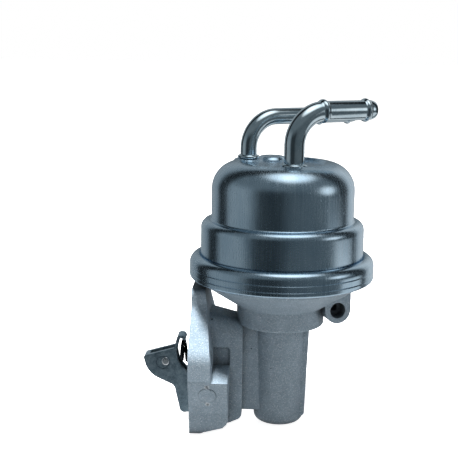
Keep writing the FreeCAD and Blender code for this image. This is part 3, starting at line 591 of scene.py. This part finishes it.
def cover_top(x, y):
    """Outer height of the turned cover at a place, before anything is pressed into it."""
    r = sqrt(x * x + y * y)
    dome_start = dome_wall - dome_round
    if r < recess_radius:
        return recess_floor
    if r < rim_radius:
        return recess_floor + (r - recess_radius) / (rim_radius - recess_radius) * (rim_height - recess_floor)
    if r < dome_start:
        return rim_height
    return rim_height - dome_round + sqrt(max(dome_round ** 2 - (r - dome_start) ** 2, 0))


cover_line = rounded_line([
    (43.3, 0.3, 0), (43.3, 4.7, 3.0), (39.2, 4.7, 0.8), (39.2, 22.8, 4.0), (dome_wall, 22.8, 0.8),
    (dome_wall, rim_height, dome_round), (rim_radius, rim_height, 0.5), (recess_radius, recess_floor, 0.5),
    (0.001, recess_floor, 0),
], arc=14)
cover_plate = plated_steel("blue_zinc_plate", 0.18, 0.027 * MM)
cover = revolved("plated_cover", walled(cover_line, sheet_wall), cover_plate, segments=228, shape=cover_form)
stand_for(cover, "cover", "housing")

# Crimp ring: a steel band rolled over the cover's flange and under the body's rim. The
# rolling leaves fine lines round it and a bright folded lip underneath.
ring_line = rounded_line([
    (41.2, -5.4, 0), (44.5, -5.4, 1.6), (44.5, -2.9, 0), (44.25, -2.6, 0), (44.5, -2.3, 0), (44.5, 0.1, 0),
    (44.25, 0.4, 0), (44.5, 0.7, 0), (44.5, 5.9, 4.2), (40.0, 5.9, 0),
], arc=10)
ring_plate = plated_steel("rolled_zinc_plate", 0.16, 0.018 * MM)
ring = revolved("rolled_crimp_ring", walled(ring_line, sheet_wall), ring_plate)
stand_for(ring, "crimp_ring", "housing")

# Pipes: bent steel tube, brightly plated, brazed into the cover with a collar at the foot.
# Each has a stop bead for the hose, an end bead that keeps it on, and a tapered nose.


def pipe_tree():
    """Nodes that draw a tube along a centre line, with its collar, beads, taper and bore."""
    tree, given, out = new_tree("drawn_pipe", (
        "Radius", "Wall", "Collar Start", "Collar Height", "Collar Rise", "First Bead", "Second Bead",
        "Bead Width", "Bead Rise", "Taper", "Taper Length",
    ))
    fine = tree.nodes.new("GeometryNodeResampleCurve")
    fine.mode = "LENGTH"
    fine.inputs["Length"].default_value = 0.3 * MM
    tree.links.new(given["Geometry"], fine.inputs["Curve"])
    along = tree.nodes.new("GeometryNodeSplineParameter").outputs["Length"]
    total = tree.nodes.new("GeometryNodeSplineLength").outputs["Length"]

    def lump(middle, half, rise):
        """Rounded swelling round one place on the centre line."""
        off = reckon(tree, "DIVIDE", minus(tree, along, middle), half)
        square = times(tree, off, off)
        rest = reckon(tree, "MAXIMUM", minus(tree, 1.0, square), 0.0)
        return times(tree, reckon(tree, "POWER", rest, 1.6), rise)

    half_collar = times(tree, given["Collar Height"], 0.5)
    middle = plus(tree, given["Collar Start"], half_collar)
    half_bead = times(tree, given["Bead Width"], 0.5)
    radius = given["Radius"]
    off = reckon(tree, "DIVIDE", minus(tree, along, middle), half_collar)
    collar = minus(tree, 1.0, reckon(tree, "POWER", reckon(tree, "ABSOLUTE", off), 2.2))
    collar = reckon(tree, "POWER", reckon(tree, "MAXIMUM", collar, 0.0), 0.5)
    radius = plus(tree, radius, times(tree, collar, given["Collar Rise"]))
    for bead in ("First Bead", "Second Bead"):
        radius = plus(tree, radius, lump(given[bead], half_bead, given["Bead Rise"]))
    left = minus(tree, total, along)
    near = minus(tree, 1.0, reckon(tree, "DIVIDE", left, given["Taper Length"]))
    near = reckon(tree, "MAXIMUM", near, 0.0)
    drop = times(tree, times(tree, near, near), given["Taper"])
    radius = minus(tree, radius, drop)

    def skin(size):
        """Tube wall of a radius along the centre line."""
        section = tree.nodes.new("GeometryNodeCurvePrimitiveCircle")
        section.inputs["Resolution"].default_value = 56
        section.inputs["Radius"].default_value = 1.0
        sized = tree.nodes.new("GeometryNodeSetCurveRadius")
        tree.links.new(fine.outputs[0], sized.inputs["Curve"])
        tree.links.new(size, sized.inputs["Radius"])
        wall = tree.nodes.new("GeometryNodeCurveToMesh")
        tree.links.new(sized.outputs[0], wall.inputs["Curve"])
        tree.links.new(section.outputs[0], wall.inputs["Profile Curve"])
        reach = tree.nodes.new("GeometryNodeInputRadius")
        tree.links.new(reach.outputs[0], wall.inputs["Scale"])
        return wall.outputs[0]

    inner = tree.nodes.new("GeometryNodeFlipFaces")
    tree.links.new(skin(minus(tree, given["Radius"], given["Wall"])), inner.inputs[0])
    both = tree.nodes.new("GeometryNodeJoinGeometry")
    tree.links.new(inner.outputs[0], both.inputs[0])
    tree.links.new(skin(radius), both.inputs[0])
    end_tree(tree, both.outputs[0], given["Finish"], out)
    return tree


def centre_line(x, y, bottom, height, bend, turn, end_x):
    """Points of a pipe's centre line: up, round the bend and out to the hose end."""
    ahead = Vector((cos(radians(turn)), sin(radians(turn)), 0))
    foot = Vector((x, y, bottom))
    corner = Vector((x, y, height - bend)) + ahead * bend
    line = [foot.lerp(Vector((x, y, height - bend)), k / 40) for k in range(41)]
    for k in range(1, 49):
        rise = pi / 2 * k / 48
        line.append(corner - ahead * (bend * cos(rise)) + Vector((0, 0, bend * sin(rise))))
    end = Vector((x, y, height)) + ahead * ((end_x - x) / ahead.x)
    start = line[-1].copy()
    return line + [start.lerp(end, k / 60) for k in range(1, 61)]


def drawn_pipe(name, node, radius, x, y, bottom, seat, height, bend, turn, end_x, beads, finish):
    line = centre_line(x, y, bottom, height, bend, turn, end_x)
    curve = bpy.data.curves.new(name, "CURVE")
    curve.dimensions = "3D"
    spline = curve.splines.new("POLY")
    spline.points.add(len(line) - 1)
    for point, place in zip(spline.points, line):
        point.co = (axis_x + place.x * MM, place.y * MM, ring_z + place.z * MM, 1)
    length = sum((b - a).length for a, b in zip(line, line[1:]))
    sizes = {
        "Radius": radius, "Wall": 1.2,
        "Collar Start": seat - bottom, "Collar Height": 2.0, "Collar Rise": 1.4,
        "First Bead": length - (end_x - beads[0]) / cos(radians(turn)),
        "Second Bead": length - (end_x - beads[1]) / cos(radians(turn)),
        "Bead Width": 3.2, "Bead Rise": 0.9,
        "Taper": 0.7, "Taper Length": 2.8,
    }
    given = {size: number * MM for size, number in sizes.items()}
    given["Finish"] = finish
    mesh = made_by(draw, name, curve, given)
    mesh.materials.clear()
    close_ends(mesh)
    piece = smooth_piece(name, mesh, finish)
    stand_for(piece, node, "housing")


def close_ends(mesh):
    """Joins the tube's outer and inner walls at both ends."""
    work = bmesh.new()
    work.from_mesh(mesh)
    bmesh.ops.remove_doubles(work, verts=work.verts, dist=0.000001)
    loose = [edge for edge in work.edges if len(edge.link_faces) == 1]
    ends = sorted(loose, key=lambda edge: edge.verts[0].co.x + edge.verts[1].co.x)
    for half in (ends[:len(ends) // 2], ends[len(ends) // 2:]):
        bmesh.ops.bridge_loops(work, edges=half)
    work.to_mesh(mesh)
    work.free()


draw = pipe_tree()
pipe_plate = turned_steel("bright_zinc_tube", (0.54, 0.655, 0.72), (0.68, 0.775, 0.83), 0.08, 0.16,
                          (1, 1, 0.3))
drawn_pipe("inlet_tube", "inlet_pipe", radius=4.75, x=4.8, y=-12.0, bottom=44.0, seat=recess_floor,
           height=75.1, bend=15.5, turn=30, end_x=42.3, beads=(17.8, 38.1), finish=pipe_plate)
drawn_pipe("outlet_tube", "outlet_pipe", radius=4.0, x=pipe_seat[0], y=pipe_seat[1], bottom=32.0,
           seat=seat_height, height=70.3, bend=15.0, turn=30, end_x=36.0, beads=(17.3, 31.8),
           finish=pipe_plate)

# Bench: a pale floor under the pump that keeps its shadow. The camera, the metal and clear
# parts see it a little lit up, so that it is as white as the room.
floor_z = cad_low.z - 0.4 * MM
floor_mesh = bpy.data.meshes.new("bench_top")
bench_reach = 6.0
floor_mesh.from_pydata([
    (-bench_reach, -bench_reach, floor_z), (bench_reach, -bench_reach, floor_z),
    (bench_reach, bench_reach, floor_z), (-bench_reach, bench_reach, floor_z),
], [], [(0, 1, 2, 3)])
floor_paint, floor_tree, floor_shader = paint("pale_bench")[:3]
floor_shader.inputs["Roughness"].default_value = 0.9
white = floor_tree.nodes.new("ShaderNodeEmission")
rays = floor_tree.nodes.new("ShaderNodeLightPath").outputs
seen = reckon(floor_tree, "MAXIMUM", rays["Is Camera Ray"], rays["Is Transmission Ray"])
seen = reckon(floor_tree, "MAXIMUM", seen, rays["Is Glossy Ray"])
blend = floor_tree.nodes.new("ShaderNodeAddShader")
grey = tint(floor_tree, seen, (0.25, 0.25, 0.25), (0.86, 0.86, 0.86))
floor_tree.links.new(grey, floor_shader.inputs["Base Color"])
floor_tree.links.new(times(floor_tree, seen, 0.90), white.inputs["Strength"])
floor_tree.links.new(floor_shader.outputs[0], blend.inputs[0])
floor_tree.links.new(white.outputs[0], blend.inputs[1])
floor_tree.links.new(blend.outputs[0], floor_tree.nodes["Material Output"].inputs["Surface"])
floor_mesh.materials.append(floor_paint)
bench = bpy.data.objects.new("bench", floor_mesh)
bpy.context.scene.collection.objects.link(bench)

# Studio tent: what the bright metal mirrors, and only reflections see it. Behind the pump is a
# pale sheet with dark gaps beside it. In front is a pale screen on the left, a dark gap, and a
# grey room with a low card and a small lamp on the right and a large lamp in the ceiling.


def tent_paint():
    material = bpy.data.materials.new("studio_tent")
    material.use_nodes = True
    tree = material.node_tree
    tree.nodes.remove(tree.nodes["Principled BSDF"])
    place = tree.nodes.new("ShaderNodeTexCoord").outputs["Object"]
    fit = tree.nodes.new("ShaderNodeMapping")
    fit.inputs["Location"].default_value = (-axis_x, 0, -ring_z)
    tree.links.new(place, fit.inputs["Vector"])
    way = tree.nodes.new("ShaderNodeVectorMath")
    way.operation = "NORMALIZE"
    tree.links.new(fit.outputs["Vector"], way.inputs[0])
    part = tree.nodes.new("ShaderNodeSeparateXYZ")
    tree.links.new(way.outputs["Vector"], part.inputs[0])
    across = part.outputs["X"]
    back = part.outputs["Y"]
    up = part.outputs["Z"]
    around = times(tree, reckon(tree, "ARCTAN2", across, times(tree, back, -1.0)), 180 / pi)

    def ramp(value, low, high, steps):
        """Grey levels along a value, as (value, level) steps."""
        levels = tree.nodes.new("ShaderNodeValToRGB")
        while len(levels.color_ramp.elements) < len(steps):
            levels.color_ramp.elements.new(0.5)
        for element, (where, level) in zip(levels.color_ramp.elements, steps):
            element.position = (where - low) / (high - low)
            element.color = (level, level, level, 1)
        tree.links.new(spread(tree, value, low, high, 0.0, 1.0), levels.inputs["Fac"])
        return levels.outputs["Color"]

    def laid_over(under, upper, share):
        """Upper level over another one by a share."""
        return plus(tree, times(tree, under, minus(tree, 1.0, share)), times(tree, share, upper))

    def lamp(level, strength, x, y, z, edge, core):
        """Soft round lamp in a direction, between two angles from its middle."""
        near = plus(tree, plus(tree, times(tree, across, x), times(tree, back, y)), times(tree, up, z))
        share = spread(tree, near, cos(radians(edge)), cos(radians(core)), 0.0, 1.0)
        return laid_over(level, strength, share)

    level = ramp(around, -180, 180, [
        (-180, 0.30), (-56, 0.30), (-36, 0.042), (-4, 0.038),
        (10, 0.10), (40, 0.125), (75, 0.12), (180, 0.12),
    ])
    ceiling = spread(tree, up, 0.35, 0.6, 0.0, 1.0)
    level = laid_over(level, 0.17, ceiling)
    sheet = ramp(back, 0.0, 1.0, [
        (0.0, 0.012), (0.45, 0.012), (0.56, 0.30), (0.72, 0.36), (0.92, 0.34), (0.97, 0.15),
    ])
    sheet = times(tree, sheet, spread(tree, across, 0.2, 0.5, 1.0, 1.8))
    level = laid_over(level, sheet, spread(tree, back, 0.07, 0.12, 0.0, 1.0))
    off_card = reckon(tree, "ABSOLUTE", minus(tree, around, 91.0))
    card = times(tree, spread(tree, off_card, 19.0, 14.0, 0, 1), spread(tree, up, -0.10, -0.17, 0.0, 1.0))
    level = laid_over(level, 0.72, card)
    bright_floor = spread(tree, up, -0.55, -0.80, 0.0, 1.0)
    level = laid_over(level, 0.75, bright_floor)
    level = lamp(level, strength=1.15, x=0.903, y=-0.261, z=0.339, edge=16, core=6)
    level = lamp(level, strength=1.7, x=0.128, y=-0.129, z=0.983, edge=26, core=9)
    tone = tint(tree, spread(tree, level, 0.03, 0.5, 0.0, 1.0), (0.72, 0.92, 1.03), (0.96, 1.0, 1.02))
    glow = tree.nodes.new("ShaderNodeEmission")
    tree.links.new(tone, glow.inputs["Color"])
    tree.links.new(level, glow.inputs["Strength"])
    tree.links.new(glow.outputs[0], tree.nodes["Material Output"].inputs["Surface"])
    return material


tent_radius = 0.40
tent_lowest = -88
tent_highest = 90
rows = 40
columns = 64
floor_drop = floor_z - ring_z
tent_points = []
tent_faces = []
for i in range(rows + 1):
    rise = radians(tent_lowest + (tent_highest - tent_lowest) * i / rows)
    for j in range(columns):
        turn = 2 * pi * j / columns
        point = Vector((cos(rise) * cos(turn), cos(rise) * sin(turn), sin(rise))) * tent_radius
        if point.z < floor_drop:
            point *= min(1.0, (floor_drop + 0.1 * MM) / point.z)
        tent_points.append(point + Vector((axis_x, 0, ring_z)))
for i in range(rows):
    for j in range(columns):
        k = (j + 1) % columns
        tent_faces.append((i * columns + j, i * columns + k, (i + 1) * columns + k, (i + 1) * columns + j))
tent_mesh = bpy.data.meshes.new("studio_tent")
tent_mesh.from_pydata(tent_points, [], tent_faces)
tent_mesh.materials.append(tent_paint())
tent = bpy.data.objects.new("studio_tent", tent_mesh)
bpy.context.scene.collection.objects.link(tent)
tent.visible_camera = False
tent.visible_diffuse = False
tent.visible_transmission = False
tent.visible_shadow = False

# Lamps: a strong one nearly overhead and a little in front, a weak wide one in front on the
# right and one behind. The room is white to the camera and lights the pump a little.


def soft_lamp(name, power, width, place, target):
    lamp = bpy.data.lights.new(name, "AREA")
    lamp.energy = power
    lamp.shape = "RECTANGLE"
    lamp.size = width
    lamp.size_y = width
    holder = bpy.data.objects.new(name, lamp)
    holder.location = place
    holder.rotation_euler = (Vector(target) - Vector(place)).to_track_quat("-Z", "Y").to_euler()
    holder.visible_camera = False
    holder.visible_glossy = False
    bpy.context.scene.collection.objects.link(holder)


soft_lamp("key_lamp", power=32.0, width=0.22, place=(-0.03, -0.15, 0.95), target=(0.01, 0, 0.0))
soft_lamp("fill_lamp", power=1.0, width=0.6, place=(0.75, -0.6, 0.45), target=(axis_x, 0, 0.0))
soft_lamp("back_lamp", power=4.0, width=0.6, place=(0.1, 0.8, 0.7), target=(axis_x, 0, 0.03))
world = bpy.data.worlds.new("pale_room")
world.use_nodes = True
bpy.context.scene.world = world
room = world.node_tree
base = room.nodes["Background"]
rays = room.nodes.new("ShaderNodeLightPath").outputs
seen = reckon(room, "MAXIMUM", rays["Is Camera Ray"], rays["Is Transmission Ray"])
seen = reckon(room, "MAXIMUM", seen, rays["Is Glossy Ray"])
base.inputs["Color"].default_value = (1, 1, 1, 1)
room_light = 0.21
room.links.new(spread(room, seen, 0.0, 1.0, room_light, 1.0), base.inputs["Strength"])
bpy.context.scene.view_settings.view_transform = "Standard"

# Camera: a long lens about half a metre in front of the pump and a little above it, looking
# almost straight along +Y. It is held very slightly askew.
bearing = radians(3.1)
pitch = radians(11.1)
roll = radians(0.75)
focal_pixels = 1000
picture_width = 458
ahead = Vector((-sin(bearing) * cos(pitch), cos(bearing) * cos(pitch), -sin(pitch)))
lens = bpy.data.cameras.new("camera")
lens.sensor_width = 36.0
lens.lens = lens.sensor_width * focal_pixels / picture_width
lens.clip_start = 0.01
lens.clip_end = 50
camera = bpy.data.objects.new("camera", lens)
camera.location = (axis_x, -474.4 * MM, 151.4 * MM)
camera.rotation_mode = "QUATERNION"
camera.rotation_quaternion = ahead.to_track_quat("-Z", "Y") @ Matrix.Rotation(roll, 3, "Z").to_quaternion()
bpy.context.scene.collection.objects.link(camera)
bpy.context.scene.camera = camera
